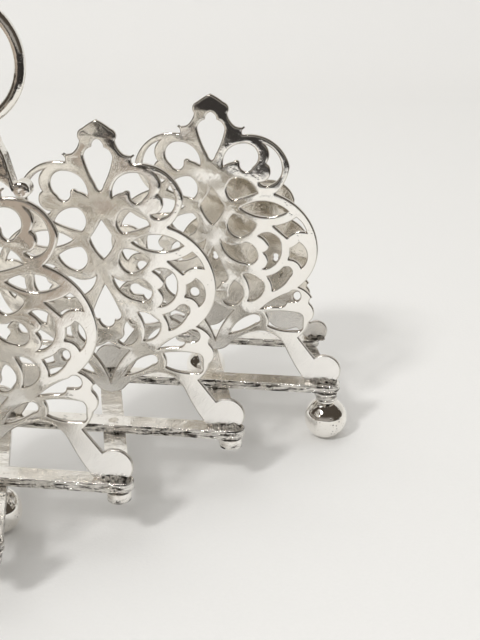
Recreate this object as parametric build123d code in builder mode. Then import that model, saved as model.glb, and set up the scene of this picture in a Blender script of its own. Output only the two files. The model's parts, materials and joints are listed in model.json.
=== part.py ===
"""Expanding toast rack.

Five pierced plates and two small, nearly plain end plates stand on the upper bars of a flat
riveted lattice, the lazy tongs. Lower bars cross beneath them. When the lattice folds, every upper
bar stays parallel to the next one, so the plates close up like a fan of cards while they all keep
facing the same way.

X runs along the plates, +Y runs from the near end plate to the far one, +Z is up, and the origin
is on the table under the middle pivot. Apart from the ring and its neck, the rack looks the same
after half a turn about Z.
"""

import os
from math import cos, radians, sin, sqrt

from build123d import *

os.makedirs("parts", exist_ok=True)

# Driving dimensions, in millimetres and degrees ---------------------------------------------------
pivot_reach = 38.6  # from the middle pivot of a bar to the pivot at its end
lattice_angle = 106.1  # from the upper bars' direction round to the lower bars'
bar_width = 7.2
bar_thickness = 2.9
bar_end_reach = 4.7  # how far a bar runs past its last pivot
bar_edge_radius = 0.5
bar_gap = 0.2  # between the upper and the lower layer

plate_thickness = 1.5
end_plate_scale = 0.70
end_bar_overhang = 11.3  # the upper bar of an end row runs on past its end pivot, under its plate

ball_radius = 7.4
ball_flat_radius = 1.8  # the worn flat that the ball stands on
foot_collar_radius = 3.3
foot_collar_length = 1.0
stem_radius = 2.0
rivet_radius = 1.6
rivet_head_radius = 2.6
rivet_head_height = 1.0
running_clearance = 0.05  # on the radius, and under a rivet head or a foot collar

ring_radius = 16.9  # to the middle of the wire
ring_wire_radius = 1.6
ring_height = 124.0  # the ring's centre, above the upper bars
neck_depth = 5.0
handle_offset = 1.8  # the ring and its neck were soldered on a little right of the middle

# Heights ------------------------------------------------------------------------------------------
ball_centre = sqrt(ball_radius**2 - ball_flat_radius**2)
ball_top = ball_centre + sqrt(ball_radius**2 - foot_collar_radius**2)
collar_top = ball_top + foot_collar_length
lower_bar_bottom = collar_top + running_clearance
lower_bar_top = lower_bar_bottom + bar_thickness
upper_bar_bottom = lower_bar_top + bar_gap
deck = upper_bar_bottom + bar_thickness  # the face that the plates stand on

# The lattice --------------------------------------------------------------------------------------
# Row 0 is the middle plate. The next row is one step further along the lattice.
row_names = {
    -3: "near_end",
    -2: "near_outer",
    -1: "near_inner",
    0: "middle",
    1: "far_inner",
    2: "far_outer",
    3: "far_end",
}
last_row = 3
step_x = pivot_reach * (1 + cos(radians(lattice_angle)))
step_y = pivot_reach * sin(radians(lattice_angle))
foot_pivots = {(0, 0), (2, 1), (3, -1), (-2, -1), (-3, 1)}  # the (row, end) of each ball foot


def pivot(row, end):
    """The place of a pivot: end is -1, 0 or 1, for the left end, the middle or the right end."""
    return (row * step_x + end * pivot_reach, row * step_y)


def ends_of(row):
    """The ends at which the bars of this row have a pivot: the bars of an end row are half bars."""
    if row == last_row:
        return (-1, 0)
    if row == -last_row:
        return (0, 1)
    return (-1, 0, 1)


def upper_bar_span(row):
    """The x of the left and of the right end of the upper bar of this row."""
    left = pivot(row, ends_of(row)[0])[0]
    right = pivot(row, ends_of(row)[-1])[0]
    return (
        left - (end_bar_overhang if row == last_row else bar_end_reach),
        right + (end_bar_overhang if row == -last_row else bar_end_reach),
    )


# The patterns of the plates -----------------------------------------------------------------------
# Each list runs corner, point on the arc, corner, and so on, as (x, height above the upper bars).
# None in place of the point makes that side straight. Right half only, the left half mirrors it.
outline_half = [
    (0, 100), (2.4, 98.7), (4.3, 97.3),  # pointed finial
    (5.9, 95.6), (5.4, 93.6), (6.3, 91.3), (8, 89.5),  # bump and hollow under it
    (9.6, 89.2), (11.2, 89.1), (10.2, 88.1), (10.3, 86.8),  # barb
    (20.4, 84.6), (25.7, 76.6), (24.3, 71.9), (21, 67.4),  # shoulder crescent
    (32.3, 58.5), (35.1, 50), (34.1, 42.4), (28.9, 35),  # large ring
    (31.6, 33.5), (33.4, 31.3), (32.5, 30.2), (32.7, 29),  # small tooth
    (34.1, 26.2), (32.4, 22.3), (31.3, 19.4), (28.8, 16.4),  # hip
    None, (34.35, 9.0), (41.9, 8.5), (41.1, 0),  # leg and its round foot pad
    None, (31.3, 0), (27.3, 6.4), (24.1, 13),  # inside of the leg
    (20.6, 16.9), (15.8, 18.3), (9.3, 16.2), (5, 12.9), (2.8, 11), (0, 10.4),  # arch
]
centre_openings_half = [
    [(0, 94.1), (1.3, 93.3), (1.9, 91.6), (3.6, 90.6), (4.5, 88.5),  # top drop with a trefoil head
     (3.5, 84.8), (1.2, 79.8), (0.7, 78.6), (0, 78)],
    [(0, 68.9), (1.6, 66.3), (4, 62.7), (2.3, 58.9), (0, 56.2)],  # diamond
    [(0, 47.8), (2.6, 42.7), (4.4, 38.4), (4.1, 36.4), (2.4, 35.9),  # drop with a scalloped foot
     (1.7, 34.1), (0, 33.3)],
    [(0, 28.3), (3, 26.6), (6.5, 25.5), (3.1, 21.2), (0, 14.2)],  # bottom wedge
]
side_openings = [
    [(3.8, 76.2), (5.4, 81.6), (10.6, 84), (15.3, 80.6), (13.5, 76.2), (12.3, 74.8), (10.9, 74.6),
     (9.7, 75.5), (9.3, 77.3), (8.5, 78.3), (7.2, 77.7), (5.4, 77.2)],  # hooked bean
    [(17.3, 84.1), (21.3, 81.2), (23.1, 76.6), (21.7, 72), (18, 70), (16.8, 70.2), (15.8, 71.1),
     (18.9, 72.8), (19.3, 75.6), (18.8, 76.8), (18, 77.4), (19, 80.7)],  # crescent
    [(6.5, 64.9), (4.9, 68.6), (7.4, 72.4), (11.4, 71.7), (15, 67.6), (10.8, 66)],  # upper leaf
    [(9.4, 62.1), (16.8, 64.7), (25.2, 61.6), (16.8, 59.4)],  # eye
    [(6.9, 59.8), (11, 58.9), (14.4, 56.7), (12.1, 53.5), (8.5, 52), (5.2, 55.4)],  # lower leaf
    [(2.7, 50.4), (4.9, 45.7), (10.5, 43), (14.3, 44), (14.6, 46.7), (13.2, 49), (10.8, 50.1),
     (6.7, 48.9)],  # comma
    [(15.5, 52.9), (20.9, 53), (22.8, 48.6), (21.4, 43.8), (17.2, 41.2), (18.5, 43.9), (17.1, 46.9),
     (18.5, 48), (18.9, 49.5), (17.7, 51.3)],  # inside of the large ring
    [(20.6, 56.2), (24.5, 57.4), (28, 59.5), (30.1, 57.3), (31.4, 54.5), (27.6, 54.4),
     (24.9, 52.4), None],  # four-cornered piercing
    [(25.5, 44.9), (25.9, 46.8), (26, 48.7), (27.3, 49.4), (28.9, 50.9), (31.3, 48), (29.7, 42),
     (28.1, 44.1)],  # shield
    [(18.3, 38.4), (20.9, 39.4), (23.2, 41.3), (25.9, 41.7), (25.7, 38.7), (23.3, 35.4),
     (20, 33.4), (19.6, 36)],  # lower leaf of the ring
    [(10, 38.8), (12, 34.5), (11.6, 29.3), (15.4, 31), (17, 34.6), (16.5, 36.2), (15.3, 37.2),
     (12.9, 38.7)],  # bell
    [(7.1, 36.2), (9.8, 32.2), (8.3, 28.6), (5.6, 27.5), (3.1, 29), (5, 30.3), (5.1, 32.1),
     (5.7, 34.5)],  # hook
    [(16.1, 26.6), (20.6, 30.2), (25.8, 32.9), (29.5, 31.7), (27.5, 29.7), None, (24.8, 29.6),
     (23.9, 28), (22.5, 27.5), (19.3, 27.3)],  # paddle
    [(17.6, 25.2), (23, 25.9), (28.2, 25.6), (29.8, 24.9), (30.3, 23.2), None, (30.2, 20.7),
     (29.8, 19.3), (28.4, 18.8), (23.3, 18.9), (18.4, 20.3), (18.6, 22.8)],  # window
    [(5, 16.7), (8.4, 21.6), (14, 24.4), (15.7, 22.8), (14, 20.9), (9.8, 18.4)],  # slanted leaf
]

# The end plates have the same shoulders and feet at a smaller scale, but no finial, a low arch and
# only two eyelets at each side.
end_outline_half = [
    (0, 88.6), (5.2, 88.2), (10.3, 86.8),  # low crown
    (20.4, 84.6), (25.7, 76.6), (24.3, 71.9), (21, 67.4),  # shoulder
    (32.3, 58.5), (35.1, 50), (34.1, 42.4), (28.9, 35),  # round side
    (31.6, 33.5), (33.4, 31.3), (32.5, 30.2), (32.7, 29),  # small tooth
    (34.1, 26.2), (32.4, 22.3), (31.3, 19.4), (28.8, 16.4),  # hip
    None, (34.35, 9.0), (41.9, 8.5), (41.1, 0),  # leg and its round foot pad
    None, (31.3, 0), (29.6, 3.6), (26.6, 6), (20.5, 4.6), (14.2, 6.6), (8, 11.1), (0, 12.8),  # arch
]
end_eyelets = [
    [(25.4, 23.8), (27.8, 26.4), (30.2, 23.8), (27.8, 21.2)],  # round
    [(15, 45.1), (16, 47.4), (17, 45.1), (16, 42.8)],  # narrow
]


def draw_arcs(points):
    """Draw a chain of arcs and straight lines through a list that alternates corner and point."""
    for start, middle, end in zip(points[0:-2:2], points[1:-1:2], points[2::2]):
        if middle is None:
            Line(start, end)
        else:
            ThreePointArc(start, middle, end)


def scaled(points, across, up):
    """The same list at another width and height. A negative width mirrors it."""
    return [point and (point[0] * across, point[1] * up) for point in points]


def both_halves(half):
    """Close a right half, which starts and ends on the centre line, with its mirror image."""
    return half + scaled(half, -1, 1)[::-1][1:]


def plate_pattern(outline, on_centre, at_sides, scale):
    """The pierced face of a plate, with its height along the sketch's Y."""
    with BuildSketch() as face:
        with BuildLine():
            draw_arcs(both_halves(scaled(outline, scale, scale)))
        make_face()
        for half in on_centre:
            with BuildLine():
                draw_arcs(both_halves(scaled(half, scale, scale)))
            make_face(mode=Mode.SUBTRACT)
        for opening in at_sides:
            for side in (-1, 1):
                with BuildLine():
                    draw_arcs(scaled(opening + opening[:1], side * scale, scale))
                make_face(mode=Mode.SUBTRACT)
    return face.sketch


def upright(x, y):
    """A vertical plane that faces -Y, with its origin on the upper bars at this place."""
    return Plane(origin=(x, y, deck), x_dir=(1, 0, 0), z_dir=(0, -1, 0))


def write(node, label):
    """Name a finished piece and save it."""
    node.part.label = label
    export_step(node.part, f"parts/{label}.step")


# Plates, each soldered on edge along the top of its upper bar --------------------------------------
full_pattern = plate_pattern(outline_half, centre_openings_half, side_openings, 1)
end_pattern = plate_pattern(end_outline_half, [], end_eyelets, end_plate_scale)
for row, row_name in row_names.items():
    with BuildPart() as plate:
        with BuildSketch(upright(sum(upper_bar_span(row)) / 2, row * step_y)):
            add(end_pattern if abs(row) == last_row else full_pattern)
        extrude(amount=plate_thickness / 2, both=True)
    write(plate, f"plate_{row_name}")
    if row == 0:
        middle_plate = plate.part

# Flat bars of the lattice -------------------------------------------------------------------------


def hole_radius(row, end, clearance):
    """The hole for whatever stands at this pivot, a foot's stem or a rivet."""
    return (stem_radius if (row, end) in foot_pivots else rivet_radius) + clearance


for row, row_name in row_names.items():
    left, right = upper_bar_span(row)
    with BuildPart() as upper_bar:
        with BuildSketch(Plane.XY.offset(upper_bar_bottom)):
            with Locations(((left + right) / 2, row * step_y)):
                SlotOverall(right - left, bar_width)
        extrude(amount=bar_thickness)
        fillet(upper_bar.edges().group_by(Axis.Z)[-1], radius=bar_edge_radius)
        with BuildSketch(Plane.XY.offset(upper_bar_bottom)):
            for end in ends_of(row):
                with Locations(pivot(row, end)):
                    Circle(hole_radius(row, end, 0))
        extrude(amount=bar_thickness, mode=Mode.SUBTRACT)
    write(upper_bar, f"upper_bar_{row_name}")

    # A lower bar leaves the right end of the row before, crosses the middle of this row and
    # reaches the left end of the next row.
    lower_pivots = [(row + end, -end) for end in ends_of(row)]
    lower_spots = [pivot(*place) for place in lower_pivots]
    lower_centre = (
        sum(x for x, _ in lower_spots) / len(lower_spots),
        sum(y for _, y in lower_spots) / len(lower_spots),
    )
    lower_length = (len(lower_spots) - 1) * pivot_reach + 2 * bar_end_reach
    with BuildPart() as lower_bar:
        with BuildSketch(Plane.XY.offset(lower_bar_bottom)):
            with Locations(Location(lower_centre, lattice_angle)):
                SlotOverall(lower_length, bar_width)
            for place, spot in zip(lower_pivots, lower_spots):
                with Locations(spot):
                    Circle(hole_radius(*place, running_clearance), mode=Mode.SUBTRACT)
        extrude(amount=bar_thickness)
    write(lower_bar, f"lower_bar_{row_name}")

# Rivets, fixed in the upper bars and headed over beneath the lower ones ---------------------------
head_top = lower_bar_bottom - running_clearance
with BuildPart() as rivet:
    with BuildSketch(Plane.XZ):
        with BuildLine():
            Polyline(
                (0, head_top - rivet_head_height),
                (0, deck),
                (rivet_radius, deck),
                (rivet_radius, head_top),
                (rivet_head_radius, head_top),
            )
            RadiusArc(
                (rivet_head_radius, head_top),
                (0, head_top - rivet_head_height),
                (rivet_head_radius**2 + rivet_head_height**2) / (2 * rivet_head_height),
            )
        make_face()
    revolve(axis=Axis.Z)

for row, row_name in row_names.items():
    riveted = [pivot(row, end) for end in ends_of(row) if (row, end) not in foot_pivots]
    with BuildPart() as rivets:
        with Locations(*riveted):
            add(rivet.part)
    write(rivets, f"rivets_{row_name}")

# Ball feet: the stem passes through the lower bar and is fixed in the upper one -------------------
with BuildPart() as foot:
    with BuildSketch(Plane.XZ):
        with BuildLine():
            Polyline((0, deck), (0, 0), (ball_flat_radius, 0))
            ThreePointArc(
                (ball_flat_radius, 0), (ball_radius, ball_centre), (foot_collar_radius, ball_top)
            )
            Polyline(
                (foot_collar_radius, ball_top),
                (foot_collar_radius, collar_top),
                (stem_radius, collar_top),
                (stem_radius, deck),
                (0, deck),
            )
        make_face()
    revolve(axis=Axis.Z)

for row, end in sorted(foot_pivots):
    with BuildPart() as ball_foot:
        with Locations(pivot(row, end)):
            add(foot.part)
    write(ball_foot, f"ball_foot_{row_names[row]}")

# Carrying ring, a closed loop of round wire over the middle plate ---------------------------------
with BuildPart() as carrying_ring:
    with Locations((handle_offset, 0, deck + ring_height)):
        Torus(ring_radius, ring_wire_radius, rotation=(90, 0, 0))
write(carrying_ring, "carrying_ring")

# Ring neck, a flared casting with a scroll at each side, which holds the ring and sits astride the
# middle plate's finial
neck_half = [
    (0, 107), (4.4, 107.4), (8.4, 108.4),  # top, let in under the wire
    (9.2, 103.6), (11, 99), (12, 95), (12.9, 91.2),  # flared side
    (15.6, 92.0), (17.4, 89.6), (15.4, 87.2), (12.9, 88.2),  # scroll
    (9.6, 91.6), (5.4, 92.6), (2.8, 95.2), (0, 96),  # under side, over the finial's opening
]
with BuildPart() as ring_neck:
    with BuildSketch(upright(handle_offset, 0)):
        with BuildLine():
            draw_arcs(both_halves(neck_half))
        make_face()
    extrude(amount=neck_depth / 2, both=True)
    add(carrying_ring.part, mode=Mode.SUBTRACT)
    add(middle_plate, mode=Mode.SUBTRACT)
write(ring_neck, "ring_neck")
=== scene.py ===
import json
import math

import bmesh
import bpy
from mathutils import Matrix, Vector, noise


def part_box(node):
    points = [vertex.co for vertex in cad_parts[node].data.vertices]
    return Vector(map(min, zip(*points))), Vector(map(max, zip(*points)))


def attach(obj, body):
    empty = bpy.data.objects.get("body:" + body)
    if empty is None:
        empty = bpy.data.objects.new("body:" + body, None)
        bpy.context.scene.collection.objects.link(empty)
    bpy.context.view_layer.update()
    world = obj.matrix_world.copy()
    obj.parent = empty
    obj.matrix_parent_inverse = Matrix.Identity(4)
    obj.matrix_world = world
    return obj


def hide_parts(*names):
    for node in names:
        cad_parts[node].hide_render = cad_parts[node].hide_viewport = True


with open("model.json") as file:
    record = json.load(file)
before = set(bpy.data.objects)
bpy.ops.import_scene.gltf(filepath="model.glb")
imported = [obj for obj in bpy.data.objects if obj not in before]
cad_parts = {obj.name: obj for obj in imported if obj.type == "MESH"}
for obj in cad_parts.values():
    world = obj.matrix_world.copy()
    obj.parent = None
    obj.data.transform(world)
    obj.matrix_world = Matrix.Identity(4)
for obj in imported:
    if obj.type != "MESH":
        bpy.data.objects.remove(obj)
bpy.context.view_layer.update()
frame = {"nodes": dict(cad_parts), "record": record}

# Ball feet -------------------------------------------------------------------------------------
# Turned balls of silver plate, each on a short collar and a stem that is riveted into the bars.
# Standing on tables has left pits on every ball.


def shader_group(name, inputs, outputs):
    """An empty shader group with its sockets: (name, type, default) in, (name, type) out."""
    group = bpy.data.node_groups.new(name, "ShaderNodeTree")
    for label, kind, value in inputs:
        socket = group.interface.new_socket(label, in_out="INPUT", socket_type=kind)
        socket.default_value = value
    for label, kind in outputs:
        group.interface.new_socket(label, in_out="OUTPUT", socket_type=kind)
    entry = group.nodes.new("NodeGroupInput")
    leave = group.nodes.new("NodeGroupOutput")
    return group, entry.outputs, leave.inputs


def place(tree, kind, links=None, **settings):
    """Add a node, set its properties, and fill its sockets with values or links."""
    node = tree.nodes.new(kind)
    for key, value in settings.items():
        setattr(node, key, value)
    for key, value in (links or {}).items():
        socket = node.inputs[key]
        if isinstance(value, bpy.types.NodeSocket):
            tree.links.new(value, socket)
        else:
            socket.default_value = value
    return node


def ramp(tree, source, low, high):
    """Stretch a value so that low becomes 0 and high becomes 1, eased at both ends."""
    node = place(tree, "ShaderNodeMapRange", {0: source, 1: low, 2: high},
                 interpolation_type="SMOOTHSTEP")
    return node.outputs[0]


def spread(tree, source, low, high):
    """Turn a mask from 0 to 1 into values that run evenly from low to high."""
    return place(tree, "ShaderNodeMapRange", {0: source, 3: low, 4: high}).outputs[0]


def combine(tree, operation, first, second):
    """One math node on two values or links."""
    return place(tree, "ShaderNodeMath", {0: first, 1: second}, operation=operation).outputs[0]


def blend_colours(tree, factor, first, second):
    """One colour mix."""
    node = place(tree, "ShaderNodeMix", {0: factor, 6: first, 7: second}, data_type="RGBA")
    return node.outputs[2]


# Tarnish comes as soft clouds with a broken edge, and as darker freckles where polish never reaches.
tarnish, t_in, t_out = shader_group(
    "tarnish_clouds",
    [("Cloud Size", "NodeSocketFloat", 60.0), ("Amount", "NodeSocketFloat", 0.5),
     ("Freckles", "NodeSocketFloat", 0.3)],
    [("Clouds", "NodeSocketFloat"), ("Freckles", "NodeSocketFloat")],
)
spot = place(tarnish, "ShaderNodeTexCoord").outputs["Object"]
cloud = place(tarnish, "ShaderNodeTexNoise",
              {"Vector": spot, "Scale": t_in["Cloud Size"], "Detail": 6.0, "Roughness": 0.62})
cloud_mask = ramp(tarnish, cloud.outputs["Fac"], 0.42, 0.68)
tarnish.links.new(combine(tarnish, "MULTIPLY", cloud_mask, t_in["Amount"]), t_out["Clouds"])
fleck = place(tarnish, "ShaderNodeTexNoise",
              {"Vector": spot, "Scale": 1300.0, "Detail": 3.0, "Roughness": 0.7})
fleck_mask = ramp(tarnish, fleck.outputs["Fac"], 0.60, 0.74)
tarnish.links.new(combine(tarnish, "MULTIPLY", fleck_mask, t_in["Freckles"]), t_out["Freckles"])

# Fine scratches from years of polishing cloths: two families of hairlines that cross.
scratches, s_in, s_out = shader_group(
    "polishing_scratches",
    [("Angle", "NodeSocketFloat", 0.6), ("Spread", "NodeSocketFloat", 0.5),
     ("Fineness", "NodeSocketFloat", 1.0)],
    [("Height", "NodeSocketFloat")],
)
spot = place(scratches, "ShaderNodeTexCoord").outputs["Object"]
families = []
for turn, stretch in ((0.0, (5200.0, 5200.0, 130.0)), (1.0, (3900.0, 3900.0, 90.0))):
    angle = combine(scratches, "ADD", s_in["Angle"],
                    combine(scratches, "MULTIPLY", s_in["Spread"], turn))
    turned = place(scratches, "ShaderNodeVectorRotate",
                   {"Vector": spot, "Axis": (0.0, 1.0, 0.0), "Angle": angle},
                   rotation_type="AXIS_ANGLE")
    longer = place(scratches, "ShaderNodeVectorMath",
                   {0: turned.outputs[0], 1: stretch}, operation="MULTIPLY")
    finer = place(scratches, "ShaderNodeVectorMath",
                  {0: longer.outputs[0], "Scale": s_in["Fineness"]}, operation="SCALE")
    lines = place(scratches, "ShaderNodeTexNoise",
                  {"Vector": finer.outputs[0], "Scale": 1.0, "Detail": 2.0, "Roughness": 0.5})
    families.append(ramp(scratches, lines.outputs["Fac"], 0.35, 0.75))
scratches.links.new(combine(scratches, "ADD", *families), s_out["Height"])

# Pits and knocks: small round hollows, scattered unevenly.
pits, p_in, p_out = shader_group(
    "pits_and_knocks",
    [("Scale", "NodeSocketFloat", 700.0), ("Amount", "NodeSocketFloat", 0.5)],
    [("Depth", "NodeSocketFloat")],
)
spot = place(pits, "ShaderNodeTexCoord").outputs["Object"]
cells = place(pits, "ShaderNodeTexVoronoi", {"Vector": spot, "Scale": p_in["Scale"]})
hollow = ramp(pits, cells.outputs["Distance"], 0.34, 0.08)
where = place(pits, "ShaderNodeTexNoise", {"Vector": spot, "Scale": 240.0, "Detail": 2.0})
patch = ramp(pits, where.outputs["Fac"], 0.50, 0.66)
pits.links.new(
    combine(pits, "MULTIPLY", combine(pits, "MULTIPLY", hollow, patch), p_in["Amount"]),
    p_out["Depth"],
)

# Hand-worked sheet and castings are never quite flat: a slow waviness that bends reflections.
waviness, w_in, w_out = shader_group(
    "hand_worked_waviness",
    [("Slow", "NodeSocketFloat", 45.0), ("Quick", "NodeSocketFloat", 220.0),
     ("Quick Share", "NodeSocketFloat", 0.25)],
    [("Height", "NodeSocketFloat")],
)
spot = place(waviness, "ShaderNodeTexCoord").outputs["Object"]
slow = place(waviness, "ShaderNodeTexNoise", {"Vector": spot, "Scale": w_in["Slow"], "Detail": 1.0})
quick = place(waviness, "ShaderNodeTexNoise", {"Vector": spot, "Scale": w_in["Quick"], "Detail": 2.0})
quick_part = combine(waviness, "MULTIPLY", quick.outputs["Fac"], w_in["Quick Share"])
waviness.links.new(combine(waviness, "ADD", slow.outputs["Fac"], quick_part), w_out["Height"])


def group_node(tree, group, **values):
    """Place one of the shared effects, with its own values, and return its outputs."""
    node = tree.nodes.new("ShaderNodeGroup")
    node.node_tree = group
    for key, value in values.items():
        node.inputs[key.replace("_", " ")].default_value = value
    return node.outputs


def bumps(tree, *layers, normal=None):
    """Stack bump layers, each (height, distance in metres), and return the last normal."""
    for height, distance in layers:
        node = place(tree, "ShaderNodeBump", {"Height": height, "Distance": distance, "Strength": 1.0})
        if normal is not None:
            tree.links.new(normal, node.inputs["Normal"])
        normal = node.outputs["Normal"]
    return normal


def metal(name):
    """A fresh material with a metallic Principled shader: the material, its tree and the shader."""
    material = bpy.data.materials.new(name)
    material.use_nodes = True
    tree = material.node_tree
    shader = tree.nodes["Principled BSDF"]
    shader.inputs["Metallic"].default_value = 1.0
    return material, tree, shader


def dress(piece, material):
    """Give a piece its one material."""
    piece.data.materials.clear()
    piece.data.materials.append(material)


BRIGHT_SILVER = (0.970, 0.948, 0.908, 1.0)
WARM_SILVER = (0.80, 0.755, 0.68, 1.0)
# Brown for tarnish, also used on the plates' edges and walls as painted shade.
BROWN_TARNISH_AND_SHADE = (0.30, 0.245, 0.175, 1.0)
BLACK_SULPHIDE = (0.035, 0.030, 0.026, 1.0)

ball_silver, tree, shader = metal("ball_foot_silver")
clouds = group_node(tree, tarnish, Cloud_Size=110.0, Amount=0.45, Freckles=0.5)
pitting = group_node(tree, pits, Scale=900.0, Amount=0.8)
colour = blend_colours(tree, clouds["Clouds"], BRIGHT_SILVER, WARM_SILVER)
colour = blend_colours(tree, clouds["Freckles"], colour, BROWN_TARNISH_AND_SHADE)
colour = blend_colours(tree, pitting["Depth"], colour, BLACK_SULPHIDE)
tree.links.new(colour, shader.inputs["Base Color"])
rough = spread(tree, clouds["Clouds"], 0.05, 0.16)
tree.links.new(combine(tree, "ADD", rough, combine(tree, "MULTIPLY", pitting["Depth"], 0.3)),
               shader.inputs["Roughness"])
wave = group_node(tree, waviness, Slow=120.0, Quick=500.0, Quick_Share=0.15)
sunk = combine(tree, "MULTIPLY", pitting["Depth"], -1.0)
tree.links.new(bumps(tree, (wave["Height"], 0.00022), (sunk, 0.00012)), shader.inputs["Normal"])

for node in frame["nodes"]:
    if node.startswith("ball_foot"):
        dress(frame["nodes"][node], ball_silver)

# Lattice bars ----------------------------------------------------------------------------------
# Flat strip, cut to length and rounded at the ends by hand, so the edges are soft and a little
# uneven. The top faces stay bright. Grime and black sulphide streak the sides, and pits scatter.
MM = 0.001
BAR_EDGE = 0.55 * MM
CLEAN_TOP = 0.45  # how much dirt a face may hold
DIRTY_SIDE = 0.75

bar_silver, tree, shader = metal("lattice_bar_silver")
clouds = group_node(tree, tarnish, Cloud_Size=120.0, Amount=0.6, Freckles=0.55)
pitting = group_node(tree, pits, Scale=780.0, Amount=0.9)
wear = group_node(tree, scratches, Angle=1.25, Spread=0.7, Fineness=0.8)
edge = place(tree, "ShaderNodeAttribute", attribute_name="edge_dirt").outputs["Fac"]
spot = place(tree, "ShaderNodeTexCoord").outputs["Object"]
level = place(tree, "ShaderNodeVectorMath", {0: spot, 1: (190.0, 190.0, 1500.0)},
              operation="MULTIPLY").outputs[0]
streaks = place(tree, "ShaderNodeTexNoise",
                {"Vector": level, "Scale": 1.0, "Detail": 6.0, "Roughness": 0.68}).outputs["Fac"]
broken = place(tree, "ShaderNodeTexNoise",
               {"Vector": spot, "Scale": 420.0, "Detail": 5.0, "Roughness": 0.7}).outputs["Fac"]
side = ramp(tree, edge, CLEAN_TOP, DIRTY_SIDE)
grime = ramp(tree, combine(tree, "ADD", edge, streaks), 1.22, 1.38)
black = combine(tree, "MULTIPLY", ramp(tree, combine(tree, "ADD", edge, broken), 1.14, 1.27),
                ramp(tree, streaks, 0.48, 0.57))
colour = blend_colours(tree, clouds["Clouds"], BRIGHT_SILVER, WARM_SILVER)
colour = blend_colours(tree, clouds["Freckles"], colour, BROWN_TARNISH_AND_SHADE)
colour = blend_colours(tree, combine(tree, "MULTIPLY", grime, 0.55), colour, BROWN_TARNISH_AND_SHADE)
colour = blend_colours(tree, black, colour, BLACK_SULPHIDE)
colour = blend_colours(tree, pitting["Depth"], colour, BLACK_SULPHIDE)
tree.links.new(colour, shader.inputs["Base Color"])
rough = combine(tree, "ADD", spread(tree, clouds["Clouds"], 0.12, 0.26),
                combine(tree, "MULTIPLY", grime, 0.25))
tree.links.new(rough, shader.inputs["Roughness"])
wave = group_node(tree, waviness, Slow=90.0, Quick=420.0, Quick_Share=0.25)
sunk = combine(tree, "MULTIPLY", pitting["Depth"], -1.0)
tree.links.new(
    bumps(tree, (wave["Height"], 0.0009), (sunk, 0.00012), (wear["Height"], 0.00001),
          (combine(tree, "MULTIPLY", streaks, side), 0.00045)),
    shader.inputs["Normal"],
)


def plain_copy(node, name):
    """The CAD node's mesh as a new piece, with split points joined and flat faces made whole."""
    mesh = frame["nodes"][node].data.copy()
    mesh.name = name
    piece = bpy.data.objects.new(name, mesh)
    bpy.context.scene.collection.objects.link(piece)
    work = bmesh.new()
    work.from_mesh(mesh)
    bmesh.ops.remove_doubles(work, verts=work.verts, dist=0.002 * MM)
    bmesh.ops.dissolve_limit(work, angle_limit=math.radians(1.0), verts=work.verts,
                             edges=work.edges, delimit={"NORMAL"})
    work.to_mesh(mesh)
    work.free()
    return piece


def finish_mesh(piece, modifiers=()):
    """Apply the modifiers, smooth the shading and leave flat faces flat."""
    for kind, settings in modifiers:
        modifier = piece.modifiers.new(kind.lower(), kind)
        for key, value in settings.items():
            setattr(modifier, key, value)
    if modifiers:
        ready = piece.evaluated_get(bpy.context.evaluated_depsgraph_get())
        mesh = bpy.data.meshes.new_from_object(ready)
        piece.modifiers.clear()
        piece.data = mesh
    for face in piece.data.polygons:
        face.use_smooth = True
    weigh = piece.modifiers.new("even_shading", "WEIGHTED_NORMAL")
    weigh.weight = 100
    weigh.keep_sharp = True


BEVELLED = [("BEVEL", {"width": BAR_EDGE, "segments": 3, "limit_method": "ANGLE",
                       "angle_limit": math.radians(40)})]


def mark_edges(piece, top):
    """Store how much dirt a point may hold: little on the top face, more on the sides."""
    layer = piece.data.attributes.new("edge_dirt", "FLOAT", "POINT")
    for point in piece.data.vertices:
        on_top = point.co.z > top - 0.05 * MM
        layer.data[point.index].value = CLEAN_TOP if on_top else DIRTY_SIDE


bodies_of = {node: body for body, nodes in frame["record"]["behaviour"]["bodies"].items()
             for node in nodes}
for node in sorted(frame["nodes"]):
    if "_bar_" in node:
        piece = plain_copy(node, node.replace("_bar_", "_strip_"))
        finish_mesh(piece, BEVELLED)
        mark_edges(piece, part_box(node)[1].z)
        dress(piece, bar_silver)
        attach(piece, bodies_of[node])
        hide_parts(node)

# Rivets ----------------------------------------------------------------------------------------
# Soft pins, filed flush with the upper bars and hammered over into domes beneath the lower ones.
# Polish never reaches round them, so they are the brownest metal on the rack.
rivet_silver, tree, shader = metal("rivet_silver")
clouds = group_node(tree, tarnish, Cloud_Size=420.0, Amount=0.9, Freckles=0.8)
hammered = group_node(tree, waviness, Slow=900.0, Quick=2500.0, Quick_Share=0.4)
colour = blend_colours(tree, clouds["Clouds"], WARM_SILVER, BROWN_TARNISH_AND_SHADE)
colour = blend_colours(tree, clouds["Freckles"], colour, BLACK_SULPHIDE)
tree.links.new(colour, shader.inputs["Base Color"])
tree.links.new(spread(tree, clouds["Clouds"], 0.18, 0.4), shader.inputs["Roughness"])
tree.links.new(bumps(tree, (hammered["Height"], 0.0002)), shader.inputs["Normal"])

for node in frame["nodes"]:
    if node.startswith("rivets"):
        dress(frame["nodes"][node], rivet_silver)

# Pierced plates --------------------------------------------------------------------------------
# Stamped and pierced sheet, plated after piercing, with every edge rubbed round by polishing.
# The faces are mirrors that waver. The legs and foot pads were only brushed, and stay satin.
PLATE_EDGE = 0.42 * MM
EDGE_STEPS = 3
PILLOW_INSIDE = 0.9 * MM  # how far the edges swell into the narrow bands of the middle
PILLOW_OUTSIDE = 0.3 * MM  # and into the flat outer ring
MIRROR_ABOVE = 20 * MM  # over the bars; from here down to the next height the mirror turns satin
SATIN_BELOW = 9 * MM
FOOT_DARKENING_TALL = 2.2 * MM
# A lighter silver for the satin band: partly its brushed finish, partly painted light.
SATIN_SILVER_AND_PAINTED_LIGHT = (0.985, 0.968, 0.94, 1.0)
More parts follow.
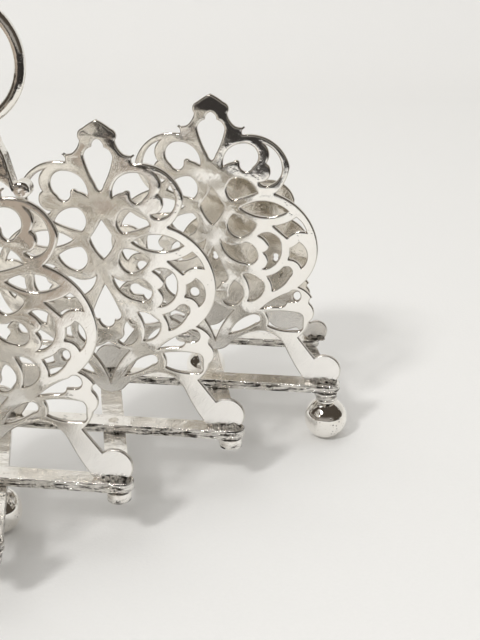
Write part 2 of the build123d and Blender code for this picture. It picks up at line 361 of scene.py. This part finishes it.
# The end plates' low tone: painted shade.
SHADED_END_SILVER = (0.64, 0.58, 0.50, 1.0)

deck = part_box("plate_middle")[0].z


def plate_metal(name, high, low):
    """The finish of a plate, between a bright tone and a darker one; the end plates' darker tones are
    painted shade.
    """
    material, tree, shader = metal(name)
    clouds = group_node(tree, tarnish, Cloud_Size=70.0, Amount=0.28, Freckles=0.12)
    pitting = group_node(tree, pits, Scale=900.0, Amount=0.35)
    wear = group_node(tree, scratches, Angle=-0.75, Spread=0.35, Fineness=1.3)
    spot = place(tree, "ShaderNodeTexCoord").outputs["Object"]
    height = place(tree, "ShaderNodeSeparateXYZ", {0: spot}).outputs["Z"]
    satin = ramp(tree, height, deck + MIRROR_ABOVE, deck + SATIN_BELOW)
    rim = place(tree, "ShaderNodeAttribute", attribute_name="rim").outputs["Fac"]
    colour = blend_colours(tree, clouds["Clouds"], high, low)
    colour = blend_colours(tree, clouds["Freckles"], colour, BROWN_TARNISH_AND_SHADE)
    # Partly painted light: the satin legs and pads get a lighter, cloudless silver, for their brushed
    # finish and for the bright floor light they catch.
    colour = blend_colours(tree, satin, colour, SATIN_SILVER_AND_PAINTED_LIGHT)
    across = place(tree, "ShaderNodeAttribute", attribute_name="across").outputs["Fac"]
    outer = ramp(tree, combine(tree, "ABSOLUTE", across, 0.0), 0.45, 0.75)
    swell = spread(tree, outer, PILLOW_INSIDE, PILLOW_OUTSIDE)
    pillow = place(tree, "ShaderNodeBevel", {"Radius": swell}, samples=12).outputs["Normal"]
    flat = place(tree, "ShaderNodeNewGeometry").outputs["True Normal"]
    level = place(tree, "ShaderNodeVectorMath", {0: pillow, 1: flat},
                  operation="DOT_PRODUCT").outputs["Value"]
    # Painted shade: where the rounded edge turns away from the flat face it is browned, drawing a dark
    # line round every opening.
    painted_edge_shade = combine(tree, "MULTIPLY", ramp(tree, level, 0.99, 0.86), 0.5)
    colour = blend_colours(tree, painted_edge_shade, colour, BROWN_TARNISH_AND_SHADE)
    # Painted shade as well: the sawn walls of the openings are browned to deepen those outlines.
    colour = blend_colours(tree, combine(tree, "MULTIPLY", rim, 0.45), colour, BROWN_TARNISH_AND_SHADE)
    # The lowest 2.2 mm of each plate, just over its bar, is browned in broken patches.
    foot_darkening = combine(tree, "MULTIPLY", ramp(tree, height, deck + FOOT_DARKENING_TALL, deck), 0.75)
    broken = place(tree, "ShaderNodeTexNoise",
                   {"Vector": spot, "Scale": 420.0, "Detail": 4.0, "Roughness": 0.65}).outputs["Fac"]
    foot_darkening = combine(tree, "MULTIPLY", foot_darkening, ramp(tree, broken, 0.4, 0.6))
    colour = blend_colours(tree, foot_darkening, colour, BROWN_TARNISH_AND_SHADE)
    tree.links.new(colour, shader.inputs["Base Color"])
    polish = spread(tree, clouds["Clouds"], 0.035, 0.09)
    polish = combine(tree, "ADD", polish, combine(tree, "MULTIPLY", satin, 0.14))
    tree.links.new(combine(tree, "ADD", polish, combine(tree, "MULTIPLY", rim, 0.06)),
                   shader.inputs["Roughness"])
    wave = group_node(tree, waviness, Slow=42.0, Quick=230.0, Quick_Share=0.22)
    sunk = combine(tree, "MULTIPLY", pitting["Depth"], -1.0)
    brushed = combine(tree, "MULTIPLY", wear["Height"], spread(tree, satin, 0.15, 1.0))
    tree.links.new(
        bumps(tree, (wave["Height"], 0.0003), (sunk, 0.00006), (brushed, 0.00002), normal=pillow),
        shader.inputs["Normal"],
    )
    return material


plate_silver = plate_metal("pierced_plate_silver", BRIGHT_SILVER, WARM_SILVER)
# The end plates take darker, warmer tones than the others: painted shade, and a painted reflection of
# the tan backs of the plates before them.
end_plate_shaded_silver = plate_metal("end_plate_shaded_silver", WARM_SILVER, SHADED_END_SILVER)


def face_loops(node):
    """The closed outlines, as (x, z), of the flat front of an upright CAD node."""
    low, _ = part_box(node)
    work = bmesh.new()
    work.from_mesh(frame["nodes"][node].data)
    bmesh.ops.remove_doubles(work, verts=work.verts, dist=0.002 * MM)
    front = {face for face in work.faces
             if face.normal.y < -0.99 and abs(face.calc_center_median().y - low.y) < 0.02 * MM}
    rim_edges = {edge for edge in work.edges
                 if sum(face in front for face in edge.link_faces) == 1}
    work.edges.index_update()
    loops = []
    while rim_edges:
        edge = min(rim_edges, key=lambda each: each.index)
        rim_edges.remove(edge)
        first, last = edge.verts
        chain = [first, last]
        while last is not first:
            edge = next(e for e in last.link_edges if e in rim_edges)
            rim_edges.remove(edge)
            last = edge.other_vert(last)
            chain.append(last)
        loops.append([(vert.co.x, vert.co.z) for vert in chain[:-1]])
    work.free()
    return loops


def rounded_sheet(node, name, edge):
    """A piece of the CAD node's outline and thickness with its edges rubbed round."""
    low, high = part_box(node)
    centre = (low + high) / 2
    thickness = high.y - low.y
    curve = bpy.data.curves.new(name, "CURVE")
    curve.dimensions = "2D"
    curve.fill_mode = "BOTH"
    curve.extrude = thickness / 2 - edge
    curve.bevel_depth = edge
    curve.bevel_resolution = EDGE_STEPS
    curve.offset = -edge
    for loop in face_loops(node):
        spline = curve.splines.new("POLY")
        spline.points.add(len(loop) - 1)
        for point, (x, z) in zip(spline.points, loop):
            point.co = (x - centre.x, z - centre.z, 0, 1)
        spline.use_cyclic_u = True
    drawn = bpy.data.objects.new(name + "_outline", curve)
    bpy.context.scene.collection.objects.link(drawn)
    ready = drawn.evaluated_get(bpy.context.evaluated_depsgraph_get())
    mesh = bpy.data.meshes.new_from_object(ready)
    bpy.data.objects.remove(drawn)
    mesh.transform(Matrix.Translation(centre) @ Matrix.Rotation(math.pi / 2, 4, "X"))
    work = bmesh.new()
    work.from_mesh(mesh)
    bmesh.ops.remove_doubles(work, verts=work.verts, dist=0.004 * MM)
    bmesh.ops.recalc_face_normals(work, faces=work.faces)
    work.to_mesh(mesh)
    work.free()
    mesh.name = name
    piece = bpy.data.objects.new(name, mesh)
    bpy.context.scene.collection.objects.link(piece)
    return piece


def mark_rim(piece, node):
    """Store rim, 1 on the sawn walls and 0 on the flat faces, and across, from -1 to 1."""
    low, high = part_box(node)
    flat = 0.02 * MM
    layer = piece.data.attributes.new("rim", "FLOAT", "POINT")
    place_across = piece.data.attributes.new("across", "FLOAT", "POINT")
    middle = (low.x + high.x) / 2
    half = (high.x - low.x) / 2
    for point in piece.data.vertices:
        inside = low.y + flat < point.co.y < high.y - flat
        layer.data[point.index].value = 1.0 if inside else 0.0
        place_across.data[point.index].value = (point.co.x - middle) / half


for node in sorted(frame["nodes"]):
    if node.startswith("plate_"):
        piece = rounded_sheet(node, node.replace("plate_", "divider_"), PLATE_EDGE)
        mark_rim(piece, node)
        finish_mesh(piece)
        dress(piece, end_plate_shaded_silver if node.endswith("_end") else plate_silver)
        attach(piece, bodies_of[node])
        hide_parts(node)

# Solder ----------------------------------------------------------------------------------------
# Each plate is held by a rough bead of soft solder before and behind both of its feet. The beads
# are lumpy, grey and pitted, and taper away at their ends.
BEAD_TALL = 1.7 * MM
BEAD_DEEP = 1.5 * MM
BEAD_STEPS = 28
BEAD_LUMPS = (0.45, 520)  # how much its height varies, and how often along X
BEAD_RAGS = (0.4, 480)  # the same for its depth
BEAD_SECTION = [(0.0, 0.0), (1.0, 0.0), (0.62, 0.16), (0.36, 0.36), (0.16, 0.62), (0.0, 1.0)]
FOOT_INSIDE = 0.76  # where a foot begins and ends, as shares of half the plate's width
FOOT_OUTSIDE = 0.975

solder_grey, tree, shader = metal("solder_grey")
spot = place(tree, "ShaderNodeTexCoord").outputs["Object"]
lumps = place(tree, "ShaderNodeTexNoise",
              {"Vector": spot, "Scale": 700.0, "Detail": 5.0, "Roughness": 0.7}).outputs["Fac"]
colour = blend_colours(tree, ramp(tree, lumps, 0.40, 0.58), BLACK_SULPHIDE, WARM_SILVER)
tree.links.new(colour, shader.inputs["Base Color"])
tree.links.new(spread(tree, lumps, 0.45, 0.15), shader.inputs["Roughness"])
tree.links.new(bumps(tree, (lumps, 0.0009)), shader.inputs["Normal"])


def uneven(x, face_y, layer, amount, often):
    """A factor near 1 that wanders along X and differs from face to face."""
    return 1 + amount * noise.noise(Vector((x * often, face_y * 90, layer)))


def add_bead(work, start, end, face_y, outward):
    """A lumpy fillet between a plate's face and its bar, from start to end along X."""
    rings = []
    for step in range(BEAD_STEPS + 1):
        share = step / BEAD_STEPS
        x = start + (end - start) * share
        taper = math.sqrt(max(0.0, 1 - (2 * share - 1) ** 4)) + 0.02
        tall = BEAD_TALL * taper * uneven(x, face_y, 1.7, *BEAD_LUMPS)
        deep = BEAD_DEEP * taper * uneven(x, face_y, 8.3, *BEAD_RAGS)
        rings.append([work.verts.new((x, face_y + outward * deep * across, deck + tall * up))
                      for across, up in BEAD_SECTION])
    for ring, following in zip(rings, rings[1:]):
        for index in range(len(ring)):
            after = (index + 1) % len(ring)
            work.faces.new((ring[index], ring[after], following[after], following[index]))
    work.faces.new(rings[0])
    work.faces.new(rings[-1])


for node in sorted(frame["nodes"]):
    if node.startswith("plate_"):
        low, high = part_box(node)
        middle = (low.x + high.x) / 2
        half = (high.x - low.x) / 2
        work = bmesh.new()
        for side in (-1, 1):
            for face_y, outward in ((low.y, -1), (high.y, 1)):
                add_bead(work, middle + side * half * FOOT_INSIDE,
                         middle + side * half * FOOT_OUTSIDE, face_y, outward)
        bmesh.ops.recalc_face_normals(work, faces=work.faces)
        name = node.replace("plate_", "solder_")
        mesh = bpy.data.meshes.new(name)
        work.to_mesh(mesh)
        work.free()
        for face in mesh.polygons:
            face.use_smooth = True
        mesh.materials.append(solder_grey)
        piece = bpy.data.objects.new(name, mesh)
        bpy.context.scene.collection.objects.link(piece)
        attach(piece, bodies_of[node])

# Ring neck -------------------------------------------------------------------------------------
# A flared casting astride the middle plate's finial, with a scroll at each side. Clouds of warmer
# tarnish and brown freckles lie scattered over it.
NECK_EDGE = 0.95 * MM

neck_silver, tree, shader = metal("ring_neck_silver")
clouds = group_node(tree, tarnish, Cloud_Size=160.0, Amount=0.8, Freckles=0.4)
colour = blend_colours(tree, clouds["Clouds"], BRIGHT_SILVER, WARM_SILVER)
colour = blend_colours(tree, clouds["Freckles"], colour, BROWN_TARNISH_AND_SHADE)
tree.links.new(colour, shader.inputs["Base Color"])
tree.links.new(spread(tree, clouds["Clouds"], 0.08, 0.2), shader.inputs["Roughness"])
wave = group_node(tree, waviness, Slow=150.0, Quick=600.0, Quick_Share=0.3)
tree.links.new(bumps(tree, (wave["Height"], 0.0006)), shader.inputs["Normal"])

piece = rounded_sheet("ring_neck", "flared_neck", NECK_EDGE)
finish_mesh(piece)
dress(piece, neck_silver)
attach(piece, "row_middle")
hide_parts("ring_neck")

# Carrying ring ---------------------------------------------------------------------------------
# Round wire bent into a hoop, closed by brazing and let into the top of the neck. Fingers keep it
# bright all round.
ring_silver, tree, shader = metal("carrying_ring_silver")
clouds = group_node(tree, tarnish, Cloud_Size=90.0, Amount=0.4, Freckles=0.2)
wear = group_node(tree, scratches, Angle=0.2, Spread=1.4, Fineness=0.7)
colour = blend_colours(tree, clouds["Clouds"], BRIGHT_SILVER, WARM_SILVER)
colour = blend_colours(tree, clouds["Freckles"], colour, BROWN_TARNISH_AND_SHADE)
tree.links.new(colour, shader.inputs["Base Color"])
tree.links.new(spread(tree, clouds["Clouds"], 0.06, 0.14), shader.inputs["Roughness"])
wave = group_node(tree, waviness, Slow=90.0, Quick=400.0, Quick_Share=0.2)
tree.links.new(bumps(tree, (wave["Height"], 0.0004), (wear["Height"], 0.000006)),
               shader.inputs["Normal"])
dress(frame["nodes"]["carrying_ring"], ring_silver)

# Studio ----------------------------------------------------------------------------------------
# A plain pale table top that sweeps up into a pale wall behind the rack. A small window high in
# front and to the left throws the shadows, and a large dim panel overhead softens them.
FLOOR_REACH = 2.2
WALL_AT = 0.62
SWEEP_RADIUS = 0.25
SWEEP_STEPS = 12
WALL_HEIGHT = 1.6
PALE_PAINT = (0.83, 0.82, 0.80, 1.0)
PALER_PAINT = (0.86, 0.85, 0.83, 1.0)

floor_paint = bpy.data.materials.new("pale_floor")
floor_paint.use_nodes = True
tree = floor_paint.node_tree
shader = tree.nodes["Principled BSDF"]
spot = place(tree, "ShaderNodeTexCoord").outputs["Object"]
grain = place(tree, "ShaderNodeTexNoise", {"Vector": spot, "Scale": 900.0, "Detail": 3.0}).outputs["Fac"]
tree.links.new(blend_colours(tree, grain, PALE_PAINT, PALER_PAINT), shader.inputs["Base Color"])
shader.inputs["Roughness"].default_value = 0.75
tree.links.new(bumps(tree, (grain, 0.00006)), shader.inputs["Normal"])

profile = [(-FLOOR_REACH, 0.0)]
for step in range(SWEEP_STEPS + 1):
    turn = step / SWEEP_STEPS * math.pi / 2
    profile.append((WALL_AT + SWEEP_RADIUS * math.sin(turn), SWEEP_RADIUS * (1 - math.cos(turn))))
profile.append((WALL_AT + SWEEP_RADIUS, WALL_HEIGHT))
work = bmesh.new()
rows = [[work.verts.new((x, y, z)) for y, z in profile] for x in (-FLOOR_REACH, FLOOR_REACH)]
for a, b, c, d in zip(rows[0], rows[0][1:], rows[1][1:], rows[1]):
    work.faces.new((d, c, b, a))
bmesh.ops.recalc_face_normals(work, faces=work.faces)
sweep = bpy.data.meshes.new("pale_sweep")
work.to_mesh(sweep)
work.free()
for face in sweep.polygons:
    face.use_smooth = True
sweep.materials.append(floor_paint)
backdrop = bpy.data.objects.new("pale_sweep", sweep)
bpy.context.scene.collection.objects.link(backdrop)


def soft_light(name, place_at, look_at, width, height, power):
    """A white rectangular soft box that points at a place on the rack."""
    light = bpy.data.lights.new(name, "AREA")
    light.shape = "RECTANGLE"
    light.size = width
    light.size_y = height
    light.energy = power
    lamp = bpy.data.objects.new(name, light)
    lamp.location = place_at
    lamp.rotation_euler = (Vector(look_at) - Vector(place_at)).to_track_quat("-Z", "Y").to_euler()
    bpy.context.scene.collection.objects.link(lamp)


soft_light("window", (-0.42, -0.95, 1.15), (0.0, 0.05, 0.0), 0.20, 0.20, 8.4)
soft_light("ceiling_bounce", (-0.3, 0.5, 1.5), (0.0, 0.0, 0.0), 1.4, 1.0, 4.6)

# The room in front of the rack is dim, so it draws dark lines along the rubbed edges, and only its
# far wall is lighter. It is only seen in reflections: everything else sees an even pale room.
DIM_ROOM = (0.085, 0.070, 0.056, 1.0)
FAR_WALL = (0.40, 0.375, 0.345, 1.0)
EVEN_ROOM = (0.86, 0.855, 0.84, 1.0)
world = bpy.data.worlds.new("room")
bpy.context.scene.world = world
world.use_nodes = True
tree = world.node_tree
sky = tree.nodes["Background"]
way = place(tree, "ShaderNodeTexCoord").outputs["Generated"]
parts = place(tree, "ShaderNodeSeparateXYZ", {0: way}).outputs
behind = ramp(tree, parts["Y"], 0.2, 0.9)
room = blend_colours(tree, behind, DIM_ROOM, PALER_PAINT)
far_wall = combine(tree, "MULTIPLY", ramp(tree, parts["Y"], -0.55, -0.85),
                   ramp(tree, combine(tree, "ABSOLUTE", parts["Z"], 0.0), 0.50, 0.15))
room = blend_colours(tree, far_wall, room, FAR_WALL)
mirrored = place(tree, "ShaderNodeLightPath").outputs["Is Glossy Ray"]
tree.links.new(blend_colours(tree, mirrored, EVEN_ROOM, room), sky.inputs["Color"])
sky.inputs["Strength"].default_value = 0.78

# What lies beyond the near corner of the table top: a dark room, and a tan one to its left. Only
# reflections see them.
TABLE_CORNER = (0.045, -0.228)
TABLE_EDGE_LEFT = (-0.031, -0.333)
TABLE_BEND = (0.14, -0.228)
TABLE_EDGE_RIGHT = (0.22, 0.05)
EDGE_FAR = (-1.67, -2.10)
TAN_NEAR = -0.12
TAN_BEND = (-0.2, 0.1)
ROOM_REACH = 2.0


def reflected_floor(name, corners, colour):
    """A level sheet just over the floor which the camera and the light pass through."""
    cloth = bpy.data.materials.new(name)
    cloth.use_nodes = True
    cloth.node_tree.nodes["Principled BSDF"].inputs["Base Color"].default_value = colour
    cloth.node_tree.nodes["Principled BSDF"].inputs["Roughness"].default_value = 1.0
    sheet = bpy.data.meshes.new(name)
    sheet.from_pydata([(x, y, MM) for x, y in corners], [], [range(len(corners))])
    sheet.materials.append(cloth)
    flag = bpy.data.objects.new(name, sheet)
    bpy.context.scene.collection.objects.link(flag)
    flag.visible_camera = False
    flag.visible_diffuse = False
    flag.visible_shadow = False


reflected_floor("dark_room", [EDGE_FAR, (ROOM_REACH, EDGE_FAR[1]), (ROOM_REACH, TABLE_EDGE_RIGHT[1]),
                              TABLE_EDGE_RIGHT, TABLE_BEND, TABLE_CORNER],
                (0.016, 0.012, 0.010, 1.0))
reflected_floor("tan_room", [(-ROOM_REACH, EDGE_FAR[1]), EDGE_FAR, TABLE_EDGE_LEFT,
                             (TABLE_EDGE_LEFT[0], TAN_NEAR), TAN_BEND, (-ROOM_REACH, TAN_BEND[1])],
                (0.35, 0.295, 0.245, 1.0))

bpy.context.scene.view_settings.view_transform = "Standard"

# Camera ----------------------------------------------------------------------------------------
# A short telephoto view from in front of the rack's right half, turned slightly towards the left.
# It stands about 45 mm higher than the top of the ring and looks down.
EYE = (0.12511, -0.31125, deck + 0.18700)
TURN = math.radians(8.95)
TILT = math.radians(67.04)
ROLL = math.radians(-0.82)
lens = bpy.data.cameras.new("camera")
lens.sensor_fit = "VERTICAL"
lens.sensor_height = 24.0
lens.lens = 46.24
lens.clip_start = 0.01
camera = bpy.data.objects.new("camera", lens)
camera.matrix_world = (
    Matrix.Translation(EYE)
    @ Matrix.Rotation(TURN, 4, "Z")
    @ Matrix.Rotation(TILT, 4, "X")
    @ Matrix.Rotation(ROLL, 4, "Z")
)
bpy.context.scene.collection.objects.link(camera)
bpy.context.scene.camera = camera
